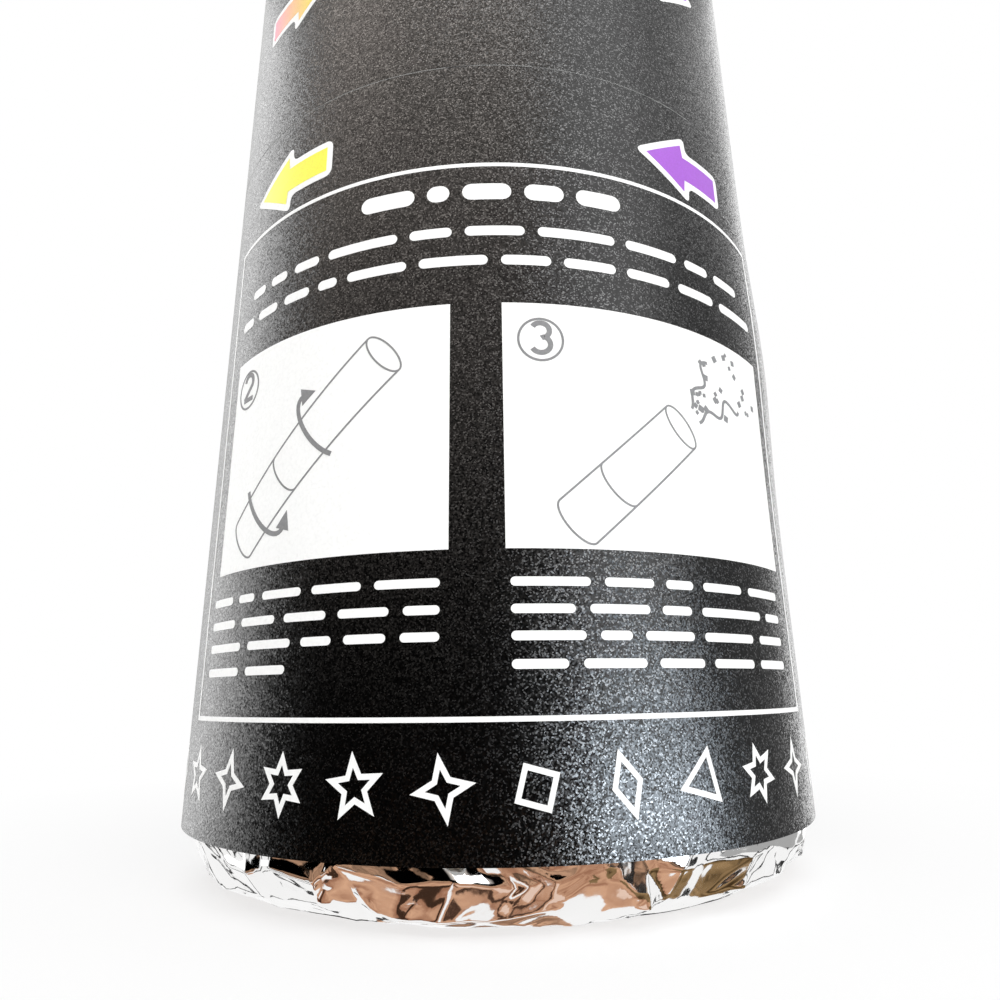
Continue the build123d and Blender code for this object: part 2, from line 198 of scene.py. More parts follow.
def piece(name, shells, materials, body, stands_for=(), inks=None, part_of=None, sharp=40):
    first = np.cumsum([0] + [len(points) for points, _ in shells])
    points = np.concatenate([points for points, _ in shells]) * MM
    faces = np.concatenate([outward(p, f) + start for (p, f), start in zip(shells, first)])
    mesh = bpy.data.meshes.new(name)
    mesh.from_pydata(points.tolist(), [], faces.tolist())
    if inks is not None:
        dyes = np.concatenate([np.broadcast_to(dye, (len(p), 4)) for (p, _), dye in zip(shells, inks)])
        on_points = mesh.attributes.new("ink", "FLOAT_COLOR", "POINT")
        on_points.data.foreach_set("color", dyes.astype("f").ravel())
    if part_of is not None:
        mesh.polygons.foreach_set("material_index", part_of.astype("i"))
    work = bmesh.new()
    work.from_mesh(mesh)
    bmesh.ops.remove_doubles(work, verts=work.verts, dist=MERGE_GAP)
    work.to_mesh(mesh)
    work.free()
    mesh.polygons.foreach_set("use_smooth", np.ones(len(mesh.polygons), bool))
    mesh.set_sharp_from_angle(angle=math.radians(sharp))
    for material in materials:
        mesh.materials.append(material)
    made = placed(name, mesh)
    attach(made, body)
    if stands_for:
        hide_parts(*stands_for)
    return made


def turn_of(radius, height, angle):
    """Points at a radius and a height, turned by an angle from the front, -Y, towards +X."""
    return np.stack(np.broadcast_arrays(radius * np.sin(angle), -radius * np.cos(angle), height), -1)


def foil_edge(along, first_radius):
    """The foil's section at a length along it: out over the base from its first radius, round a quarter
    circle and up the skirt. Gives radius, height and the two parts of the outward normal."""
    past_flat = along - FOOT_FLAT + first_radius
    bend = np.clip(past_flat / FOOT_HEIGHT, 0, np.pi / 2) - np.pi / 2
    out, up = np.cos(bend), np.sin(bend)
    radius = np.minimum(first_radius + along, FOOT_FLAT) + FOOT_HEIGHT * out
    skirt = np.maximum(past_flat - FOOT_HEIGHT * np.pi / 2, 0)
    return radius, FOOT_HEIGHT * (1 + up) + skirt, out, up


def facets(corners, along_cuts, round_cuts, draw):
    """A lattice of corners cut finer: each cell is two flat triangles on a drawn diagonal, cut into even
    steps both ways. The lattice's columns close round the axis."""
    rows, columns = corners.shape[:2]
    beside = np.roll(corners, -1, 1)
    cells = corners[:-1], beside[:-1], beside[1:], corners[1:]
    a, b, c, d = (grid[:, None, :, None] for grid in cells)
    v = (np.arange(along_cuts) / along_cuts)[None, :, None, None, None]
    u = (np.arange(round_cuts) / round_cuts)[None, None, None, :, None]
    rising = np.where(u > v, a + u * (b - a) + v * (c - b), a + v * (d - a) + u * (c - d))
    falling = np.where(u + v < 1, a + u * (b - a) + v * (d - a), c + (1 - u) * (d - c) + (1 - v) * (b - c))
    turned = draw.integers(2, size=(rows - 1, 1, columns, 1, 1))
    fine = np.where(turned, rising, falling).reshape((rows - 1) * along_cuts, columns * round_cuts, 3)
    rim = corners[-1][:, None] + u[0, 0] * (beside[-1] - corners[-1])[:, None]
    return np.concatenate([fine, rim.reshape(1, -1, 3)])


def foil_inward(points, along, cuts, first_radius):
    """The length along the section of each row of a grid that was cut finer, worked out between the
    lattice's rows, and the unit vector into the foil at each of its points."""
    row_along = np.interp(np.arange(len(points)) / cuts, range(len(along)), along)
    out, up = foil_edge(row_along, first_radius)[2:]
    bearing = np.arctan2(points[..., 0], -points[..., 1])
    return row_along, turn_of(-out[:, None], -up[:, None], bearing)


def crumpled_foil(first_radius, lattice, columns, seed):
    """Foil as flat facets: corners spaced round the section's rows, each slid along, aside and in or out by
    drawn amounts, joined by triangles, then dented a little between. Gives the face and its underside.
    A row of the lattice holds a length along the section, then slide, sink, swell and depth of dents."""
    draw = np.random.default_rng(seed)
    along, slide, sink, swell, dent = np.array(lattice).T[:, :, None]
    place = along + slide * draw.uniform(-1, 1, (len(lattice), columns))
    column = np.arange(columns) + CORNER_SWING * draw.uniform(-1, 1, place.shape)
    radius, height, out, up = foil_edge(place, first_radius)
    lift = draw.uniform(-sink, swell, place.shape)
    corners = turn_of(radius + lift * out, height + lift * up, column * 2 * np.pi / columns)
    coarse = facets(corners, FOIL_CUTS, FOIL_CUTS, draw)
    row_along, inward = foil_inward(coarse, along[:, 0], FOIL_CUTS, first_radius)
    depth = np.interp(row_along, along[:, 0], dent[:, 0])[:, None] * draw.uniform(0, 1, coarse.shape[:2])
    face = facets(coarse + depth[..., None] * inward, FOIL_CUTS, DENT_CUTS, draw)
    return face, face + FOIL_GAUGE * foil_inward(face, along[:, 0], FOIL_CUTS**2, first_radius)[1]


FOOT_COLUMNS = 54
FOOT_SEED = 5
FOOT_LATTICE = [
    (0, 0, 0, 0, 0),
    (4, 0.6, 0.4, 0, 0.05),
    (7.6, 0.5, 0.3, 0, 0.05),
    (10.2, 0.4, 0.15, 0, 0.08),
    (12.5, 0.8, 0.5, 0.12, 0.14),
    (15.0, 0.7, 0.5, 0.1, 0.15),
    (16.6, 0.2, 0.3, 0, 0.05),
    (25.8, 0, 0, 0, 0),
]
foot_grids = crumpled_foil(FOLD_RADIUS, FOOT_LATTICE, FOOT_COLUMNS, FOOT_SEED)

silver_foil, start, place = blank("silver_foil")
ripple = mottle(place, 180) + 0.15 * mottle(place, 900)
varnish(start, {
    "Base Color": mixed(mottle(place, 150), (0.93, 0.925, 0.92), (0.85, 0.845, 0.84)),
    "Metallic": 1.0,
    "Roughness": 0.04 + 0.07 * mottle(place, 900, 3),
    "Normal": relief(ripple, 1e-4),
})
piece("base_foil_crumpled", [shell(*foot_grids)], [silver_foil], "handle",
      ["base_foil"], sharp=FOIL_SHARP)

# Handle tube, coupler and rings: spiral-wound grey-brown board, cut to length and glued together.
# The coupler sleeve stands up inside the barrel, which turns on it, and no board shows from outside.
PLY_TURNS_PER_METRE = 16.0
BUTT_SHARE = 0.012


def split(vector):
    """A vector's three parts, along X, Y and Z."""
    parts = vector.node("ShaderNodeSeparateXYZ", {"Vector": vector}).socket.node.outputs
    return [Finish(vector.tree, part) for part in parts]


def board(name, colour, shaded):
    """Wound board: fibres that lie round the tube, and a butt line that climbs in a helix."""
    material, start, place = blank(name)
    x, y, z = split(place)
    turn = start.math("ARCTAN2", y, x) * (1 / (2 * math.pi))
    ply = start.math("FRACT", turn + z * PLY_TURNS_PER_METRE, 0.0)
    butt = start.math("LESS_THAN", ply, BUTT_SHARE)
    fibres = mottle(place_on(start, (1, 1, 6)), 700, 4)
    varnish(start, {
        "Base Color": mixed(0.75 * fibres + 0.25 * butt, colour, shaded),
        "Roughness": 0.78 + 0.14 * fibres,
        "Normal": relief(fibres - 0.6 * butt, 4e-5),
    })
    return material


paperboard = board("paperboard", (0.62, 0.50, 0.36), (0.40, 0.31, 0.21))
dress(paperboard, "lower_tube", "coupler_sleeve", "shoulder_ring", "upper_tube", "stop_ring", "wad_disc")
dress(white_moulding, "retainer_ring")

# Air flask: a deep-drawn aluminium bottle that holds the compressed air, with a beaded neck.
# It sits in a cup of grey foam inside the base plug, and the shoulder ring holds it down.


def metal(name, colour, shaded, stretch, roughness):
    """Worked metal: fine tool lines along one direction, in the colour and in the gloss."""
    material, start, place = blank(name)
    lines = mottle(place_on(start, stretch), 2200, 3)
    clouds = mottle(place, 60, 3)
    varnish(start, {
        "Base Color": mixed(0.6 * lines + 0.4 * clouds, colour, shaded),
        "Metallic": 1.0,
        "Roughness": roughness + 0.16 * lines,
        "Normal": relief(lines, 6e-6),
    })
    return material


flask_aluminium = metal("flask_aluminium", (0.86, 0.87, 0.88), (0.70, 0.71, 0.73), (1, 1, 0.04), 0.22)
dress(flask_aluminium, "air_canister", "neck_ferrule")

packing_foam, start, place = blank("packing_foam")
cells = start.node("ShaderNodeTexVoronoi", {"Vector": place, "Scale": 1100.0})
varnish(start, {
    "Base Color": mixed(cells, (0.42, 0.42, 0.43), (0.22, 0.22, 0.23)),
    "Roughness": 0.86 + 0.1 * cells,
    "Normal": relief(1 - cells, 2.5e-4),
})

FOAM_TURN = np.linspace(0, 2 * np.pi, 144, endpoint=False)
FOAM_SLACK = 0.05
FOAM_SHARP = 60


def rounded(corners, rows, softness):
    """A section through corner points, resampled evenly by length, its corners eased by averaging
    the points within the softness."""
    corners = np.array(corners, float)
    length = np.concatenate([[0], np.cumsum(np.linalg.norm(np.diff(corners, axis=0), axis=1))])
    walk = np.linspace(0, length[-1], rows)
    near = np.clip(walk[:, None] + np.linspace(-softness, softness, 7), 0, length[-1])
    return np.stack([np.interp(near, length, corners[:, k]).mean(1) for k in range(2)])


def foam_form(name, corners, rows, softness, body, node, closed):
    """A foam piece: an eased section turned once round, its skin let in by two slow waves of the angle.
    A section that isn't closed ends at the axis."""
    radius, height = rounded(corners, rows, softness)
    if not closed:
        radius[[0, -1]] = 0
    slack = FOAM_SLACK * (np.sin(5 * FOAM_TURN) + np.sin(9 * FOAM_TURN + 1) - 2)
    swing = slack * (radius > 1)[:, None]
    grid = turn_of(radius[:, None] + swing, height[:, None], FOAM_TURN)
    skin = (grid.reshape(-1, 3), grid_faces(rows, len(FOAM_TURN), closed, True))
    made = piece(name, [skin], [packing_foam], body, [node], sharp=FOAM_SHARP)


CRADLE_HOLE = 7.0
CRADLE_RADIUS = 20.6
CRADLE_WALL = 20.1
CRADLE_FOOT = 3.9
CRADLE_FLOOR = 6.7
CRADLE_TOP = 12.8
CRADLE_BEVEL = 3.1
CRADLE_CLOSING = 0.2
CRADLE_ROWS = 96
CRADLE_SOFTNESS = 0.3
CRADLE = [
    (CRADLE_HOLE, CRADLE_FOOT),
    (CRADLE_RADIUS, CRADLE_FOOT),
    (CRADLE_RADIUS, CRADLE_TOP),
    (CRADLE_WALL, CRADLE_TOP),
    (CRADLE_WALL, CRADLE_FLOOR + CRADLE_BEVEL),
    (CRADLE_WALL - CRADLE_BEVEL, CRADLE_FLOOR),
    (CRADLE_HOLE, CRADLE_FLOOR),
    (CRADLE_HOLE, CRADLE_FOOT + CRADLE_CLOSING),
]
foam_form("canister_cradle_foam", CRADLE, CRADLE_ROWS, CRADLE_SOFTNESS, "handle", "canister_cradle", True)

# Valve: a turned brass seat on a rubber gasket, clamped to the flask's neck by a rolled ferrule,
# with a white guide cage snapped over it. The grey stopper, its two seals and a steel pin ride inside.
dress(white_moulding, "guide_cage")
dress(metal("brass_seat", (0.83, 0.62, 0.26), (0.62, 0.43, 0.15), (1, 1, 14), 0.2), "valve_seat")
dress(metal("steel_pin", (0.72, 0.72, 0.73), (0.50, 0.50, 0.52), (0.05, 1, 1), 0.18), "cross_pin")
dress(moulded("grey_moulding", (0.37, 0.38, 0.40), (0.30, 0.31, 0.33)), "valve_stopper")

black_rubber, start, place = blank("black_rubber")
bloom = mottle(place, 500, 4)
varnish(start, {
    "Base Color": mixed(bloom, (0.014, 0.014, 0.015), (0.05, 0.05, 0.052)),
    "Roughness": 0.5 + 0.25 * bloom,
    "Normal": relief(mottle(place, 4000), 1e-5),
})
dress(black_rubber, "seat_gasket", "stopper_o_rings")

# Breech: one white moulding glued in the barrel, a vented bulkhead with a sleeve below it.
# The sleeve's two helical slots carry the stopper's pin up as the barrel turns.
dress(white_moulding, "cam_breech")

# Wad: a pressed felt pad in a board cup, which the air drives up the barrel behind the confetti.
# The pad is cut from grey sheet felt, and its edges are worn round.
FELT_RADIUS = 20.1
FELT_BOTTOM = 120.5
FELT_TOP = 126.4
FELT_NAP = 0.12
FELT_WEAR = 0.9
FELT_ROWS = 90
FELT_COLUMNS = 160
FELT_SEED = 8

wad_felt, start, place = blank("wad_felt")
fluff = mottle(place, 1500, 5)
strands = mottle(place_on(start, (6, 1, 2)), 500, 3)
varnish(start, {
    "Base Color": mixed(0.5 * fluff + 0.5 * strands, (0.60, 0.57, 0.53), (0.30, 0.28, 0.26)),
    "Roughness": 0.95,
    "Sheen Weight": 0.3,
    "Normal": relief(fluff + strands, 1.5e-4),
})
corners = [(0, FELT_BOTTOM), (FELT_RADIUS, FELT_BOTTOM), (FELT_RADIUS, FELT_TOP), (0, FELT_TOP)]
radius, height = rounded(corners, FELT_ROWS, FELT_WEAR)
radius[[0, -1]] = 0
turn = np.linspace(0, 2 * np.pi, FELT_COLUMNS, endpoint=False)
nap = np.random.default_rng(FELT_SEED).uniform(-FELT_NAP, 0, (FELT_ROWS, FELT_COLUMNS))
nap *= (radius > 0.5)[:, None]
grid = turn_of(radius[:, None] + nap, height[:, None] + 0.5 * nap, turn)
skin = (grid.reshape(-1, 3), grid_faces(FELT_ROWS, FELT_COLUMNS, False, True))
felt = piece("wad_felt_pad", [skin], [wad_felt], "charge", ["wad_felt"])

# Confetti: slips of dyed tissue packed upright in the barrel, in three layers of four colours.
# Each colour's bundles change places from layer to layer, so the colours fly out mixed.
CHARGE_RADIUS = 22.76
SLIP_PITCH = 20.03
SLIP_WIDTH = 19.2
COLUMN_BOTTOM = 126.55
LAYER_HEIGHT = 54.08
SLIP_HEIGHT = 53.2
SLIP_GAUGE = 0.2
SLIP_STEP = 0.52
SLIP_COCKLE = 0.16
SLIP_LEAN = 0.1
SLIP_SHIFT = 0.2
SLIP_LIFT = 0.2
WIDTH_LOST = 0.5
HEIGHT_LOST = 0.6
BUNDLE_GAP = 0.65
LAYERS = 3
SLIP_SEED = 20
BUNDLE_REACH = math.sqrt(CHARGE_RADIUS**2 - SLIP_PITCH**2)
END_REACH = math.sqrt(CHARGE_RADIUS**2 - SLIP_PITCH**2 / 4)
TISSUE = {
    "yellow": (0.93, 0.74, 0.03),
    "orange": (0.90, 0.31, 0.03),
    "pink": (0.86, 0.10, 0.30),
    "purple": (0.27, 0.07, 0.50),
}


def slip(middle, across, layer_bottom, draw):
    """One slip: a flat upright sheet, cockled by a slow wave of its height and width, leant and shifted a
    little in its bundle, and cut a little short."""
    x, z = np.meshgrid(np.linspace(-0.5, 0.5, 3), np.linspace(0, 1, 5), indexing="ij")
    lean, wave, shift, drop = draw.uniform(-1, 1, 4)
    along = middle + SLIP_SHIFT * shift + (SLIP_WIDTH - WIDTH_LOST * abs(shift)) * x
    high = layer_bottom + SLIP_LIFT + (SLIP_HEIGHT - HEIGHT_LOST * abs(drop)) * z
    cockle = SLIP_COCKLE * np.sin(3.1 * z + 2 * wave) * np.cos(2 * x + wave)
    bent = across + cockle + SLIP_LEAN * lean * (z - 0.5)
    grids = [np.stack([along, bent + side * SLIP_GAUGE, high], -1) for side in (0.5, -0.5)]
    return shell(*grids, wraps=False)


for index, (name, colour) in enumerate(TISSUE.items()):
    material, start, place = blank("tissue_" + name)
    pulp = mottle(place, 900, 4)
    deep = tuple(0.72 * value for value in colour)
    varnish(start, {
        "Base Color": mixed(pulp, colour, deep),
        "Roughness": 0.72 + 0.2 * pulp,
        "Normal": relief(mottle(place_on(start, (1, 3, 1)), 1300, 3), 5e-5),
    })
    draw = np.random.default_rng(SLIP_SEED + index)
    slips = []
    for layer in range(LAYERS):
        seat = index + layer
        side = -1 if (seat // 2) % 2 else 1
        if seat % 2:
            middle, low, high = 0, BUNDLE_REACH + BUNDLE_GAP, END_REACH - BUNDLE_GAP
        else:
            middle, low, high = SLIP_PITCH / 2, BUNDLE_GAP - BUNDLE_REACH, BUNDLE_REACH - BUNDLE_GAP
        bottom = COLUMN_BOTTOM + layer * LAYER_HEIGHT
        for across in np.arange(low, high, SLIP_STEP):
            slips.append(slip(side * middle, side * across, bottom, draw))
    node = "confetti_" + name
    piece(node + "_slips", slips, [material], "charge", [node])

# Muzzle closure: a foam bung under a cap of the same foil as the foot, which the charge pushes off.
# The photograph ends below it, so it repeats the foot, without the hole in the middle.
TUBE_TOP = 305.0
BUNG_ROWS = 110
BUNG_SOFTNESS = 0.25
BUNG_DEPTHS = [(0, 1.1), (20.7, 1.1), (22.7, 1.95), (23.5, 3.95), (22.7, 4.0), (22.7, 15.85), (0, 15.85)]
BUNG = [(radius, TUBE_TOP - depth) for radius, depth in BUNG_DEPTHS]
foam_form("muzzle_bung_foam", BUNG, BUNG_ROWS, BUNG_SOFTNESS, "muzzle_closure", "muzzle_plug", False)

CAP_COLUMNS = 34
CAP_SEED = 9
CAP_LATTICE = [
    (0, 0, 0, 0, 0),
    (6, 1.2, 0.15, 0, 0.03),
    (12, 1.5, 0.3, 0, 0.04),
    (17, 1.2, 0.4, 0, 0.05),
    (20.8, 0.5, 0.3, 0, 0.05),
    (23.4, 0.5, 0.4, 0.2, 0.12),
    (25.9, 0.4, 0.4, 0.1, 0.12),
    (26.88, 0, 0.1, 0, 0),
]
cap_foil = crumpled_foil(0, CAP_LATTICE, CAP_COLUMNS, CAP_SEED)
cap_grids = [grid * [1, -1, -1] + [0, 0, TUBE_TOP] for grid in cap_foil]
piece("muzzle_foil_crumpled", [shell(*cap_grids, pole=True)], [silver_foil], "muzzle_closure",
      ["muzzle_foil"], sharp=FOIL_SHARP)

# Handle wrap: black printed paper, glued round the tube and lapped at the back, with a satin varnish.
# Its lower edge covers the foil's skirt, and at the right the paper has sprung off the tube a little.
WRAP_RADIUS = 25.0
WRAP_GAUGE = 0.3
WRAP_FOOT = 3.9
WRAP_COLUMNS = 361
SEAM_LOW = 57.46
LAP_ANGLE = math.radians(168)
LAP_STEP = 0.12
LAP_TAPER = 0.25
LAP_GAP = 0.0005
SPRUNG_AT = math.radians(72)
SPRUNG_WIDE = 0.3
SPRUNG_HEIGHT = 40.0
SPRUNG_TALL = 9.0
SPRUNG_OFF = 0.45
SPRUNG_TOP = SEAM_LOW + 0.01
FLAKES_PER_METRE = 11800.0
FLAKE_TILT = 0.3
GLINT_FROM = 0.75
GLINT_RISE = 4.0


def wrap_radius(angle, height):
    """The paper's radius: even all round, but let in towards one side of the lap, where it goes under, and
    sprung off the handle a little at the right, by a bell curve of the angle times one of the height."""
    past = (angle - LAP_ANGLE) % (2 * np.pi)
    aside = np.angle(np.exp(1j * (angle - SPRUNG_AT)))
    sprung = np.exp(-((aside / SPRUNG_WIDE) ** 2))
    rise = np.exp(-(((height - SPRUNG_HEIGHT) / SPRUNG_TALL) ** 2)) * (height < SPRUNG_TOP)
    lap = LAP_STEP * np.clip(1 - (2 * np.pi - past) / LAP_TAPER, 0, 1)
    return WRAP_RADIUS - lap + SPRUNG_OFF * sprung * rise


def paper_wrap(name, bottom, top, rows, body, node):
    """A sheet of paper round the tube, from one side of the lap to the other, and a wall of its gauge.
    The printed face takes the first material, and the cut edges and the back take the second."""
    turn = np.linspace(LAP_GAP, 2 * np.pi - LAP_GAP, WRAP_COLUMNS) + LAP_ANGLE
    height = np.linspace(bottom, top, rows)[:, None]
    face = turn_of(wrap_radius(turn, height), height, turn)
    back = turn_of(WRAP_RADIUS - WRAP_GAUGE, height, turn)
    bare = np.ones((2 * rows, WRAP_COLUMNS), int)
    bare[:rows - 1] = 0
    piece(name, [shell(face, back)], [wrap_black, paper_edge], body, [node],
          part_of=bare.ravel())


def vectors(operation, *operands, output=0):
    """A Vector Math node on vectors or sockets, the first one a socket."""
    return operands[0].node("ShaderNodeVectorMath", dict(enumerate(operands)), output, operation=operation)


wrap_black, start, place = blank("wrap_black")
x, y, z = split(place)
arc = start.math("ARCTAN2", x, 0 - y) * (WRAP_RADIUS * MM)
plane = start.node("ShaderNodeCombineXYZ", {"X": arc, "Y": z})
cells = {"Vector": plane, "Scale": FLAKES_PER_METRE}
flake = start.node("ShaderNodeTexVoronoi", cells, "Color", voronoi_dimensions="2D")
faced = start.node("ShaderNodeNewGeometry", output="Normal")
tilt = vectors("SUBTRACT", flake, (0.5,) * 3)
facet = vectors("NORMALIZE", vectors("MULTIPLY_ADD", tilt, (FLAKE_TILT,) * 3, faced))
glint = (split(flake)[0] - GLINT_FROM) * GLINT_RISE
varnish(start, {
    "Base Color": mixed(mottle(place, 900), (0.0002, 0.0002, 0.0002), (0.0008, 0.0008, 0.0009)),
    "Specular IOR Level": 0.33,
    "Roughness": 0.18 + 0.08 * mottle(plane, 8600, 1),
    "Coat Weight": start.math("MINIMUM", start.math("MAXIMUM", glint, 0.0), 1.0),
    "Coat IOR": 1.95,
    "Coat Roughness": 0.3,
    "Normal": facet,
})
paper_edge, start, place = blank("paper_edge")
pulp = mottle(place, 2400, 3)
run = (mottle(place, 420, 3) - 0.5) * 6.0
varnish(start, {
    "Base Color": mixed(run, (0.5, 0.5, 0.49), (0.02, 0.02, 0.02)),
    "Roughness": 0.8 + 0.1 * pulp,
    "Normal": relief(pulp, 2e-5),
})
LOWER_ROWS = 30
paper_wrap("lower_wrap", WRAP_FOOT, SEAM_LOW, LOWER_ROWS, "handle", "lower_label")

# White printing on the handle: the frame, the two panels, lines of bars with round ends, and a row of
# stars, squares, triangles and diamonds round the foot. All of it is one opaque ink on the black paper.
INK_LIFT = 0.02
INK_SINK = 0.02
PRINT_STEP = 0.9
FRAME = [(-25.2, 7.5), (26.1, 7.5), (26.1, 44.75), (-25.2, 44.75)]
FRAME_LINE = 0.3
FRAME_STEPS = 240
PANELS = ((-23.2, -2.8), (0.65, 24.6))
PANEL_HEIGHT = (17.2, 33.75)


def printed(grid, layer=1, wraps=False, pole=False):
    """Ink on the paper: a flat grid of arc lengths right of the front and heights over the wrap's foot,
    bent round the tube by angle = arc / radius, as a skin that starts just under the paper's face."""
    arc, height = grid[..., 0], grid[..., 1] + WRAP_FOOT
    angle = arc / WRAP_RADIUS
    paper = wrap_radius(angle, height)
    grids = [turn_of(paper + lift, height, angle) for lift in (layer * INK_LIFT, -INK_SINK)]
    return shell(*grids, wraps=wraps, pole=pole)


def block(left, right, low, high):
    """A plain printed rectangle, as a grid with columns a print step apart."""
    columns = max(3, math.ceil((right - left) / PRINT_STEP) + 1)
    return np.stack(np.meshgrid(np.linspace(left, right, columns), np.linspace(low, high, 4)), -1)


def bar(left, right, low, high):
    """A bar with round ends: its half height follows a circle over the ends and is even between."""
    half = (high - low) / 2
    cap = np.sin(np.linspace(0, np.pi / 2, 5)) * half
    middle = np.linspace(left + half, right - half, max(2, math.ceil((right - left) / PRINT_STEP)))
    arc = np.concatenate([left + half - cap[::-1], middle[1:-1], right - half + cap])
    over = np.maximum(0, np.maximum(left + half - arc, arc - right + half)) / half
    rise = half * np.sqrt(np.clip(1 - over**2, 0, 1))
    return np.stack([np.stack([arc, (low + high) / 2 + share * rise], -1) for share in (-1, 0, 1)])


def around(corners, count):
    """A closed path through corner points, each side cut into the same number of steps."""
    ahead = np.roll(corners, -1, 0)
    share = np.linspace(0, 1, count // len(corners), endpoint=False)[:, None]
    return (corners[:, None] + share * (ahead - corners)[:, None]).reshape(-1, 2)


def grown(corners, margin):
    """A polygon moved out by a margin, each corner along the middle of its two sides' normals."""
    corners = np.array(corners, float)
    along = np.roll(corners, -1, 0) - corners
    along /= np.linalg.norm(along, axis=1, keepdims=True)
    normal = np.stack([along[:, 1], -along[:, 0]], -1)
    before = np.roll(normal, 1, 0)
    lean = 1 + np.sum(normal * before, 1, keepdims=True)
    area = np.sum(corners[:, 0] * np.roll(corners[:, 1], -1) - np.roll(corners[:, 0], -1) * corners[:, 1])
    return corners + margin * np.sign(area) * (normal + before) / lean


def outlined(corners, width, steps, out=0):
    """A polygon's outline in ink: a line of a width inside its sides, which may be moved out first."""
    rims = [around(grown(corners, out - share * width), steps) for share in (0, 0.5, 1)]
    return printed(np.stack(rims), wraps=True)


def star(points, outer, inner, turn):
    """A star's corners: points at two radii by turns. Equal radii give a regular polygon."""
    angle = np.pi * np.arange(2 * points) / points + turn
    radius = np.where(np.arange(2 * points) % 2, inner, outer)
    return np.stack([radius * np.sin(angle), radius * np.cos(angle)], -1)


def spun(shape, angle):
    """A flat shape turned about the origin by an angle, from right towards up."""
    return shape @ np.array([[math.cos(angle), math.sin(angle)], [-math.sin(angle), math.cos(angle)]])


def ink(name, colour, shaded, roughness):
    """Printing ink: even colour with a fine grain of the paper under it."""
    material, start, place = blank(name)
    tooth = mottle(place, 4200)
    varnish(start, {
        "Base Color": mixed(tooth ** 3.0, colour, shaded),
        "Roughness": roughness + 0.14 * tooth,
        "Specular IOR Level": 0.25,
        "Normal": relief(tooth, 8e-6),
    })
    return material


white_ink = ink("white_ink", (0.90, 0.90, 0.89), (0.74, 0.74, 0.73), 0.42)
white_print = [outlined(FRAME, FRAME_LINE, FRAME_STEPS, FRAME_LINE / 2)]
white_print += [printed(block(*panel, *PANEL_HEIGHT)) for panel in PANELS]

BAR_GAP = 0.9
BAR_LENGTHS = (1.6, 5.0)
BAR_PITCH = 4.2
HEAD_LINES = [(-9.6, 9.6, 41.85, 43.15), (-21.6, 22.4, 38.95, 39.7), (-23.2, 24.4, 36.65, 37.4)]
FOOT_LINE_HEIGHT = 0.55
FOOT_LINES = [(14.95, -3.3), (13.35, -3.3), (11.8, -3.3), (10.2, -13.9)]
LEFT_COLUMN = -23.6
RIGHT_COLUMN = (0.9, 23.6)
PRINT_SEED = 31


def bar_line(draw, left, right, low, high):
    """A line of bars of drawn lengths with even gaps, scaled to fill the line's length."""
    lengths = draw.uniform(*BAR_LENGTHS, max(2, round((right - left) / BAR_PITCH)))
    lengths *= (right - left - BAR_GAP * (len(lengths) - 1)) / lengths.sum()
    starts = left + np.cumsum(lengths + BAR_GAP) - lengths - BAR_GAP
    return [printed(bar(first, first + length, low, high)) for first, length in zip(starts, lengths)]


draw = np.random.default_rng(PRINT_SEED)
for line in HEAD_LINES:
    white_print += bar_line(draw, *line)
for low, left_column_end in FOOT_LINES:
    white_print += bar_line(draw, LEFT_COLUMN, left_column_end, low, low + FOOT_LINE_HEIGHT)
    white_print += bar_line(draw, *RIGHT_COLUMN, low, low + FOOT_LINE_HEIGHT)

SHAPES = [
    star(5, 1.95, 0.85, 0),
    star(4, 1.5, 1.06, np.pi / 4),
    star(3, 1.9, 0.95, 0),
    star(4, 1.9, 0.75, 0),
    star(2, 1.95, 1.0, 0),
    star(6, 1.85, 0.95, 0),
]
SHAPE_ROUNDS = 5
SHAPE_COUNT = SHAPE_ROUNDS * len(SHAPES)
SHAPE_PITCH = 2 * np.pi * WRAP_RADIUS / SHAPE_COUNT
SHAPE_ASIDE = 2.2
SHAPE_HEIGHT = 3.9
SHAPE_LEAN = 0.3
SHAPE_LINE = 0.32
SHAPE_STEPS = 60
order = np.concatenate([draw.permutation(len(SHAPES)) for _ in range(SHAPE_ROUNDS)])
for index, kind in enumerate(order):
    spot = np.array([(index - SHAPE_COUNT / 2) * SHAPE_PITCH + SHAPE_ASIDE, SHAPE_HEIGHT])
    outline = spun(SHAPES[kind], draw.uniform(-SHAPE_LEAN, SHAPE_LEAN)) + spot
    white_print.append(outlined(outline, SHAPE_LINE, SHAPE_STEPS))
piece("handle_white_print", white_print, [white_ink], "handle")

# Drawings in the panels: fine grey lines printed on the white ink, a tube with two arcs for the twist
# in one and a tube that throws confetti in the other, each with its number in a ring.
LINE = 0.13
ARC_LINE = 0.34
DIGIT_LINE = 0.36
RING_LINE = 0.16
STREAMER_LINE = 0.24
TUBE_HALF = 1.75
TUBE_STEP = 0.7
MOUTH_SHARE = 0.4
SEAM_SHARE = 0.36
TWIST_FOOT = np.array((-19.6, 19.4))
TWIST_MOUTH = np.array((-7.4, 30.6))
TWIST_ARCS = ((0.2, 130, 290), (0.62, 230, 70))
TWIST_OVAL = (1.3, 3.0)
DART_REACH = 0.9
DART_SIZE = 1.3
DART_STEP = 0.3
SPECK_RINGS = 3
FIRED_FOOT = np.array((5.2, 18.9))
FIRED_MOUTH = np.array((13.4, 26.0))
BURST_BITS = 34
BURST_FAR = (2.2, 10.5)
BURST_SPREAD = 0.42
BURST_SIZES = (0.18, 0.34)
BURST_STEP = 0.4
BURST_WINDOW = ((1.6, 23.8), (18.0, 33.0))
BURST_SEED = 77
STREAMERS = ((0.3, 6.5), (-0.28, 7.5))
STREAMER_START = 2.0
STREAMER_STEPS = 26
STREAMER_SWAY = 0.1
TWO = np.array((-20.9, 31.1))
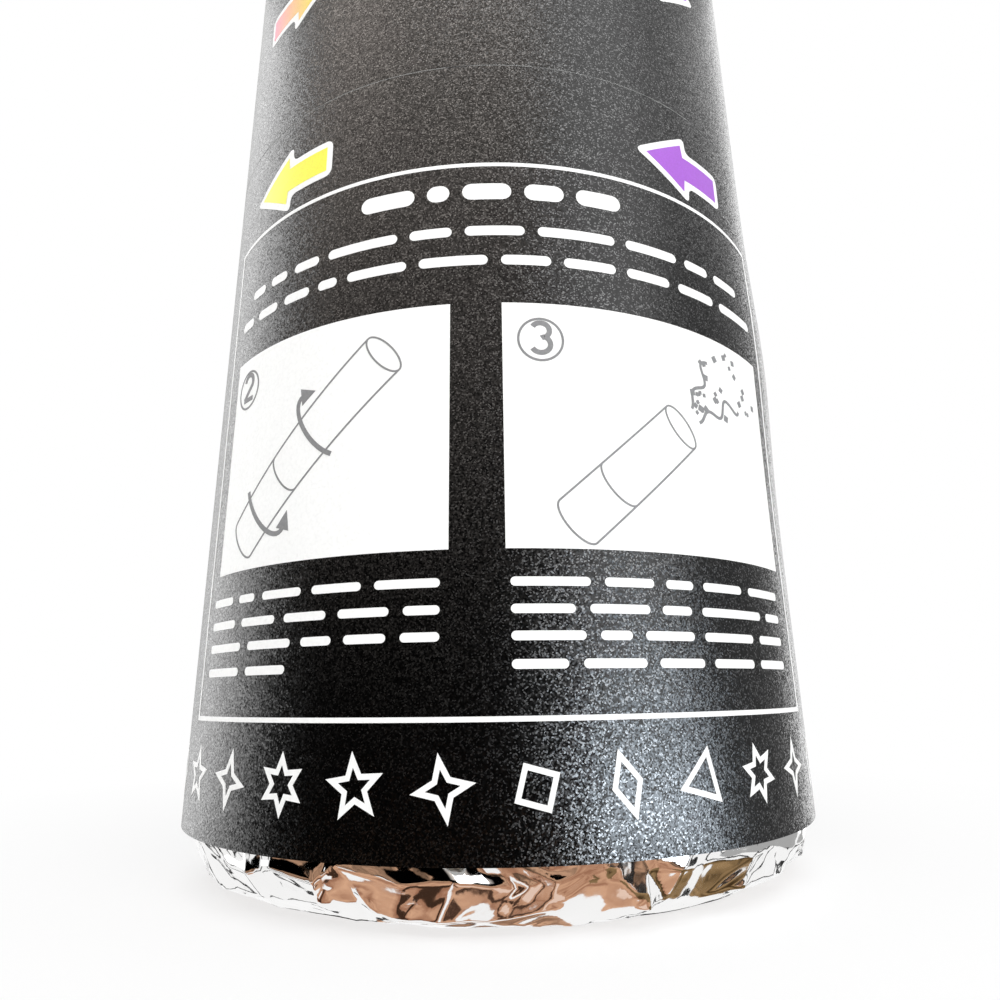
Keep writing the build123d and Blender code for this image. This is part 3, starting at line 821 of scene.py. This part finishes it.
THREE = np.array((3.2, 31.1))
RING_RADIUS = 1.5
grey_ink = ink("grey_ink", (0.20, 0.20, 0.205), (0.34, 0.34, 0.34), 0.5)


def even(corners, step, closed=True):
    """A path through corner points, resampled so that each side is cut into equal steps."""
    corners = np.array(list(corners) + ([corners[0]] if closed else []), float)
    sides = zip(corners[:-1], corners[1:])
    cut = [np.linspace(a, b, max(2, math.ceil(np.linalg.norm(b - a) / step) + 1))[:-1] for a, b in sides]
    return np.concatenate(cut if closed else cut + [corners[-1:]])


def solid(outline, centre, rings, layer=1):
    """A solid printed shape: its outline drawn in towards a centre in even rings, the first one a pole."""
    share = np.linspace(0, 1, rings)[:, None, None]
    return printed(centre + share * (outline - centre), layer, wraps=True, pole=True)


def stroke(path, width, closed=False):
    """A drawn line: its path, and the path moved half a width to each side along its normal."""
    ahead = np.roll(path, -1, 0) - np.roll(path, 1, 0) if closed else np.gradient(path, axis=0)
    side = np.stack([-ahead[:, 1], ahead[:, 0]], -1) / np.linalg.norm(ahead, axis=1, keepdims=True)
    return np.stack([path + share * width * side for share in (0.5, 0, -0.5)])


def toward(angle):
    """Unit vectors at angles from right towards up."""
    return np.stack([np.cos(angle), np.sin(angle)], -1)


def oval(centre, along, across, first, last, tilt):
    """Part of an ellipse about a centre, tilted, walked from its first angle to its last in degrees."""
    angle = np.radians(np.linspace(first, last, max(8, int(abs(last - first) / 9))))
    return spun(toward(angle) * [along, across], tilt) + centre


def drawn(path, width=LINE, closed=False):
    """A line of grey ink over the white, along a path."""
    return printed(stroke(path, width, closed), 2, wraps=closed)


def dart(tip, heading):
    """A small solid arrow head, half as wide to each side as it is long."""
    corners = np.array([[0, 0], [-DART_SIZE, DART_SIZE / 2], [-DART_SIZE, -DART_SIZE / 2]])
    corners = spun(corners, heading) + tip
    return solid(even(corners, DART_STEP), corners.mean(0), SPECK_RINGS, 2)


def tube_drawing(foot, mouth):
    """A tube seen at a slant: two sides, an open oval mouth, a round foot and the seam between its halves.
    Gives its lines and the angle of its slant."""
    slant = math.atan2(*(mouth - foot)[::-1])
    side = TUBE_HALF * toward(slant + math.pi / 2)
    seam = foot + SEAM_SHARE * (mouth - foot)
    ends = MOUTH_SHARE * TUBE_HALF, TUBE_HALF
    lines = [drawn(even([foot + out, mouth + out], TUBE_STEP, False)) for out in (side, -side)]
    lines.append(drawn(oval(mouth, *ends, 0, 360, slant)[:-1], closed=True))
    lines += [drawn(oval(point, *ends, 90, 270, slant)) for point in (foot, seam)]
    return lines, slant


grey_print, slant = tube_drawing(TWIST_FOOT, TWIST_MOUTH)
for share, first, last in TWIST_ARCS:
    arc = oval(TWIST_FOOT + share * (TWIST_MOUTH - TWIST_FOOT), *TWIST_OVAL, first, last, slant)
    grey_print.append(drawn(arc, ARC_LINE))
    heading = math.atan2(*(arc[-1] - arc[-2])[::-1])
    grey_print.append(dart(arc[-1] + DART_REACH * toward(heading), heading))

lines, slant = tube_drawing(FIRED_FOOT, FIRED_MOUTH)
grey_print += lines
burst = np.random.default_rng(BURST_SEED)
for _ in range(BURST_BITS):
    far, spread = burst.uniform(*BURST_FAR), burst.uniform(-BURST_SPREAD, BURST_SPREAD)
    spot = FIRED_MOUTH + far * toward(slant + spread)
    if not all(low < value < high for value, (low, high) in zip(spot, BURST_WINDOW)):
        continue
    size = burst.uniform(*BURST_SIZES)
    corners = star(4, size, size * 0.72, burst.uniform(0, 1.5)) + spot
    grey_print.append(solid(even(corners, BURST_STEP), spot, SPECK_RINGS, 2))
for aside, far in STREAMERS:
    reach = np.linspace(STREAMER_START, far, STREAMER_STEPS)
    sway = aside + STREAMER_SWAY * np.sin(2.4 * reach)
    path = FIRED_MOUTH + reach[:, None] * toward(slant + sway)
    grey_print.append(drawn(path, STREAMER_LINE))

two = np.concatenate([oval(TWO + (0, 0.6), 0.62, 0.62, 170, -30, 0), [TWO + (-0.6, -0.75)]])
two_foot = [TWO + (-0.65, -0.8), TWO + (0.75, -0.8)]
three_top = oval(THREE + (0, 0.65), 0.6, 0.55, 150, -70, 0)
three_foot = oval(THREE + (0, -0.35), 0.65, 0.6, 80, -150, 0)
for path, step in ((two, 0.2), (two_foot, 0.4), (np.concatenate([three_top, three_foot]), 0.2)):
    grey_print.append(drawn(even(path, step, False), DIGIT_LINE))
for spot in (TWO, THREE):
    grey_print.append(drawn(oval(spot, RING_RADIUS, RING_RADIUS, 0, 360, 0)[:-1], RING_LINE, True))
piece("panel_drawings", grey_print, [grey_ink], "handle")

# Arrows beside the seam: bright inks with a white edge. Those on the handle point one way round
# and those on the barrel the other, which is how the halves are twisted to fire it.
ARROW_LENGTH = 8.3
ARROW_MIDDLE = 4.1
HEAD_LENGTH = 3.8
HEAD_HALF = 2.15
SHAFT_HALF = 1.05
HALF_ARROW = [(HEAD_LENGTH, HEAD_HALF), (HEAD_LENGTH, SHAFT_HALF), (ARROW_LENGTH, SHAFT_HALF)]
ARROW = [(0, 0)] + HALF_ARROW + [(along, -half) for along, half in HALF_ARROW[::-1]]
ARROW_EDGE = 0.55
ARROW_STEP = 0.4
EDGE_STEP = 0.14
EDGE_EASE = 5
ARROW_RINGS = 6
YELLOW = np.array((0.96, 0.91, 0.05))
ORANGE = np.array((0.93, 0.36, 0.03))
PINK = np.array((0.88, 0.22, 0.34))
PURPLE = np.array((0.37, 0.09, 0.62))
HANDLE_ARROWS = [
    (-21.4, 48.1, YELLOW, YELLOW),
    (12.4, 48.2, PURPLE, PURPLE),
    (46.0, 48.1, PINK, PURPLE),
    (-55.3, 48.1, ORANGE, YELLOW),
]

arrow_ink, start, place = blank("arrow_ink")
tooth = mottle(place, 4200)
dyed = start.node("ShaderNodeAttribute", attribute_name="ink")
# The ink's colour darkens in flecks by two noises. The coarser tooth is the paper's own grain under the
# ink. The finer, stronger speckle is painted glint: flecks in the colour that stand in for light sparkling
# off the paper.
painted_glint = (mottle(place, 9500, 1) - 0.4) * 2.0
grain_and_painted_glint = {0: 0.15 * tooth + 0.25 * painted_glint, 6: dyed, 7: (0.4, 0.4, 0.4, 1)}
varnish(start, {
    "Base Color": start.node("ShaderNodeMix", grain_and_painted_glint, 2, data_type="RGBA", blend_type="MULTIPLY"),
    "Roughness": 0.3 + 0.14 * tooth,
    "Specular IOR Level": 0.5,
    "Normal": relief(tooth, 8e-6),
})


def eased(outline, reach):
    """An outline whose corners are rounded, by averaging each point with its neighbours on both sides."""
    return np.mean([np.roll(outline, k, 0) for k in range(-reach, reach + 1)], 0)


def arrows(name, tips, lean, body):
    """A row of arrows from their tips, heights, inks at head and tail, and the way that they point. An
    arrow's ink shades from head to tail by the share of its length."""
    girth = 2 * np.pi * WRAP_RADIUS
    inked, edged, inks = [], [], []
    for arc, height, head, tail in tips:
        corners = np.array(ARROW) * [lean, 1] + [arc, height]
        middle = np.array([arc + lean * ARROW_MIDDLE, height])
        edge = eased(even(grown(corners, ARROW_EDGE), EDGE_STEP), EDGE_EASE)
        edged.append(solid(edge, middle, ARROW_RINGS))
        points, faces = solid(even(corners, ARROW_STEP), middle, ARROW_RINGS, 2)
        inked.append((points, faces))
        arc_of = np.arctan2(points[:, 0], -points[:, 1]) * WRAP_RADIUS
        gap = (arc_of - arc + girth / 2) % girth - girth / 2
        share = np.clip(lean * gap / ARROW_LENGTH, 0, 1)[:, None]
        inks.append(np.hstack([(1 - share) * head + share * tail, np.ones((len(share), 1))]))
    piece(name + "_edges", edged, [white_ink], body)
    piece(name, inked, [arrow_ink], body, inks=inks)


arrows("handle_arrows", HANDLE_ARROWS, 1, "handle")

# Barrel wrap: the same black paper round the long upper tube, with the arrows above the seam.
# Higher up than the photograph shows, loose confetti is printed in the arrows' colours.
SEAM_HIGH = 57.54
BARREL_TOP = 301.0
UPPER_ROWS = 90
BARREL_ARROWS = [
    (-14.2, 67.0, YELLOW, PINK),
    (19.7, 67.85, PURPLE, PURPLE),
    (54.4, 67.4, PURPLE, PINK),
    (-48.0, 67.4, ORANGE, YELLOW),
]
paper_wrap("upper_wrap", SEAM_HIGH, BARREL_TOP, UPPER_ROWS, "barrel", "upper_label")
arrows("barrel_arrows", BARREL_ARROWS, -1, "barrel")

SCATTER_INKS = [YELLOW, ORANGE, PINK, PURPLE, np.array((0.88, 0.88, 0.87))]
SCATTER_COUNT = 300
SCATTER_REACH = 77.5
SCATTER_FOOT = 84
SCATTER_RISE = 210
SCATTER_GAP = 4.6
SCATTER_SEED = 12
CURL_HALF = 3.4
CURL_SWING = 0.6
CURL_LINE = 0.5
CURL_STEPS = 29
CURL_WAVES = 9.4
BIT_SIZES = (0.8, 1.9)
BIT_STEP = 0.8
BIT_RINGS = 4
scatter = np.random.default_rng(SCATTER_SEED)
bits, bit_inks, taken = [], [], []
while len(bits) < SCATTER_COUNT:
    arc = scatter.uniform(-SCATTER_REACH, SCATTER_REACH)
    spot = np.array([arc, SCATTER_FOOT + SCATTER_RISE * scatter.uniform() ** 0.75])
    kind, dye = scatter.integers(3), scatter.integers(len(SCATTER_INKS))
    size, turn = scatter.uniform(*BIT_SIZES), scatter.uniform(0, 3.1)
    if any(np.hypot(*(spot - other)) < SCATTER_GAP for other in taken):
        continue
    taken.append(spot)
    if kind == 0:
        wave = np.linspace(-1, 1, CURL_STEPS)
        curl = np.stack([CURL_HALF * wave, CURL_SWING * np.sin(CURL_WAVES * wave)], -1)
        bits.append(printed(stroke(spun(curl, turn) + spot, CURL_LINE)))
    else:
        points, inner = (2, 0.6) if kind == 1 else (4, 0.71)
        corners = star(points, size, size * inner, turn) + spot
        bits.append(solid(even(corners, BIT_STEP), spot, BIT_RINGS))
    bit_inks.append(np.append(SCATTER_INKS[dye], 1))
piece("barrel_scatter", bits, [arrow_ink], "barrel", inks=bit_inks)

# Stage: a pale floor that turns white with distance, and a white surround. Both look white to the camera
# and in mirrors, and light the object less than that.
REACH = 6.0
AMBIENT = 0.75
NEAR_WHITE = 0.62
WHITENING = 4.5
WHITE = (1, 1, 1)
floor_mesh = bpy.data.meshes.new("floor")
floor_corners = [(-REACH, -REACH, 0), (REACH, -REACH, 0), (REACH, REACH, 0), (-REACH, REACH, 0)]
floor_mesh.from_pydata(floor_corners, [], [(0, 1, 2, 3)])
floor = placed("floor", floor_mesh)
floor.visible_glossy = False
pale, start, place = blank("pale_floor")
floor_mesh.materials.append(pale)


def seen(start):
    """1 for rays from the camera, from mirrors and through glass, and 0 for the light on other surfaces."""
    path = start.node("ShaderNodeLightPath").socket.node.outputs
    rays = ("Is Camera Ray", "Is Glossy Ray", "Is Transmission Ray")
    camera, glossy, through = (Finish(start.tree, path[ray]) for ray in rays)
    return start.math("MINIMUM", camera + glossy + through, 1.0)


far = vectors("LENGTH", place, output="Value")
whiten = start.math("MINIMUM", NEAR_WHITE + far * WHITENING, 1.0)
paint = start.node("ShaderNodeBsdfDiffuse", {"Color": (0.9, 0.9, 0.9, 1)})
glow = start.node("ShaderNodeEmission", {"Color": (*WHITE, 1), "Strength": 1.0})
blend = start.node("ShaderNodeMixShader", {0: whiten * seen(start), 1: paint, 2: glow})
start.node("ShaderNodeOutputMaterial", {"Surface": blend})

world = bpy.data.worlds.new("white_surround")
bpy.context.scene.world = world
world.use_nodes = True
world.node_tree.nodes.clear()
start = Finish(world.node_tree)
strength = AMBIENT + (1 - AMBIENT) * seen(start)
lit = start.node("ShaderNodeBackground", {"Color": (*WHITE, 1), "Strength": strength})
start.node("ShaderNodeOutputWorld", {"Surface": lit})

# Lamps and cards: two softboxes light the object, and cards out of shot show in the varnish and the foil.
# The cards glow by themselves, light or dark, and are seen in reflections alone.


def softbox(name, centre, target, width, height, radiance):
    """A rectangular lamp that faces a target. Its power is radiance times pi times its area."""
    lamp = bpy.data.lights.new(name, "AREA")
    lamp.shape = "RECTANGLE"
    lamp.size, lamp.size_y = width, height
    lamp.energy = radiance * math.pi * width * height
    made = placed(name, lamp)
    made.location = centre
    made.rotation_euler = (Vector(target) - Vector(centre)).to_track_quat("-Z", "Y").to_euler()
    made.visible_camera = False


softbox("overhead_softbox", (0.05, -0.42, 0.62), (0, 0, 0.08), 0.7, 0.42, 3.3)
softbox("side_softbox", (0.36, -0.30, 0.055), (0, 0, 0.03), 0.13, 0.12, 7.0)


def card(name, points, colour, level=1, rise=0, least=0, other=None):
    """A card that shows only in reflections. Its glow is a level plus a rise for each metre of height, and
    never less than the least, and its colour may shade into another in clouds."""
    mesh = bpy.data.meshes.new(name)
    faces = grid_faces(*points.shape[:2], False, False)
    mesh.from_pydata(points.reshape(-1, 3).tolist(), [], faces.tolist())
    material, start, place = blank(name)
    glow = {
        "Color": mixed((mottle(place, 16, 3) - 0.36) * 3.5, colour, other or colour),
        "Strength": start.math("MAXIMUM", level + rise * split(place)[2], least),
    }
    start.node("ShaderNodeOutputMaterial", {"Surface": start.node("ShaderNodeEmission", glow)})
    mesh.materials.append(material)
    made = placed(name, mesh)
    for ray in ("camera", "diffuse", "transmission", "volume_scatter", "shadow"):
        setattr(made, "visible_" + ray, False)


def sector(first, last, radii, heights):
    """A curved band round the tube between two bearings in degrees, through radii and heights in metres."""
    bearing = np.radians(np.linspace(first, last, 40))
    return turn_of(np.array(radii)[:, None], np.array(heights)[:, None], bearing)


def tent(first, last, low, high):
    """An upright band between two bearings and two heights, at the tent's radius."""
    return sector(first, last, (TENT_RADIUS, TENT_RADIUS), (low, high))


def ground(first, last, near, far):
    """A level band just over the floor, between two bearings and two radii."""
    return sector(first, last, (near, far), (OVER_FLOOR, OVER_FLOOR))


def flat(left, right, front, back, height):
    """A level card between two sides, a front and a back in metres."""
    x, y = np.meshgrid(np.linspace(left, right, 2), np.linspace(front, back, 2))
    return np.stack([x, y, 0 * x + height], -1)


TENT_RADIUS = 0.35
OVER_FLOOR = 0.0005
STRIPS = -0.19
TAN, DARK_TAN = (0.74, 0.43, 0.27), (0.36, 0.17, 0.10)
OLIVE, DARK_OLIVE = (0.36, 0.23, 0.11), (0.06, 0.035, 0.015)
WARM, COOL = (0.98, 0.89, 0.82), (0.84, 0.95, 1.06)
DARK = (0.02, 0.02, 0.02)
card("dark_tent", tent(-85, 20, -0.12, 0.62), WARM, -0.3, rise=6.2)
card("tan_table", flat(-0.2, 0.2, -0.36, 0.01, -0.2), TAN, other=DARK_TAN)
card("tan_apron", sector(-85, 66, (0.36, 0.36), (-0.3, -0.11)), TAN, 0.8, other=(0.02, 0.015, 0.01))
card("brown_strip", flat(-0.085, -0.055, -0.3, 0.0, STRIPS), (0.05, 0.025, 0.015))
card("white_strip", flat(-0.036, -0.012, -0.3, -0.02, STRIPS), WHITE)
card("umber_strip", flat(0.005, 0.016, -0.3, -0.02, STRIPS), (0.06, 0.03, 0.02))
card("pink_strip", flat(0.03, 0.055, -0.2, -0.03, STRIPS), (0.85, 0.62, 0.5))
card("olive_strip", flat(0.1, 0.24, -0.1, 0.12, STRIPS), OLIVE, other=DARK_OLIVE)
card("tan_back", flat(-0.06, 0.04, 0.12, 0.3, STRIPS), TAN, other=(0.1, 0.05, 0.03))
for bearing in (-165, -140, -115, -95, 60, 85, 110, 135, 160):
    card("dark_strip", sector(bearing, bearing + 5, (0.3, 0.3), (-0.3, -0.07)), DARK)
card("lit_near", ground(19, 50, 0.036, 0.062), COOL, 17.5)
card("lit_far", ground(26, 65, 0.062, TENT_RADIUS), COOL, 10)
card("lit_tent", tent(20, 66, -0.1, 0.62), WHITE, 3.0, rise=-2.0)
card("grey_tent", tent(66, 130, -0.1, 0.45), WHITE, -0.3, rise=3.6, least=0.42)
card("cloudy_ceiling", flat(-3, 3, -3, 3, 0.95), WHITE, other=(0.03, 0.03, 0.035))
TENTS = [
    ("left_tent", -132, -93, 2.5),
    ("left_edge", -147, -132, 1.15),
    ("left_far", -180, -147, 0.52),
    ("right_edge", 130, 147, 2.0),
    ("right_far", 147, 180, 0.66),
]
for name, first, last, level in TENTS:
    card(name, tent(first, last, -0.06, 0.45), WHITE, level)

# Camera: close to the handle and low, looking a little up, as the photograph was taken.
# Its place is in metres, its angles are in degrees, and its lens is wide.
CAMERA_PLACE = (0.000205, -0.069982, 0.012803)
YAW, PITCH, ROLL = (math.radians(value) for value in (0.243, 17.494, -0.827))
forward = Vector((math.sin(YAW) * math.cos(PITCH), math.cos(YAW) * math.cos(PITCH), math.sin(PITCH)))
sideways = forward.cross(Vector((0, 0, 1))).normalized()
upright = sideways.cross(forward)
right = math.cos(ROLL) * sideways + math.sin(ROLL) * upright
above = math.cos(ROLL) * upright - math.sin(ROLL) * sideways
lens = bpy.data.cameras.new("photo_camera")
lens.lens, lens.sensor_width = 27.173, 36.0
lens.shift_y = -0.045
lens.clip_start = 0.004
camera = placed("photo_camera", lens)
turned = Matrix((right, above, -forward)).transposed().to_4x4()
camera.matrix_world = Matrix.Translation(CAMERA_PLACE) @ turned
bpy.context.scene.camera = camera
bpy.context.scene.view_settings.view_transform = "Standard"
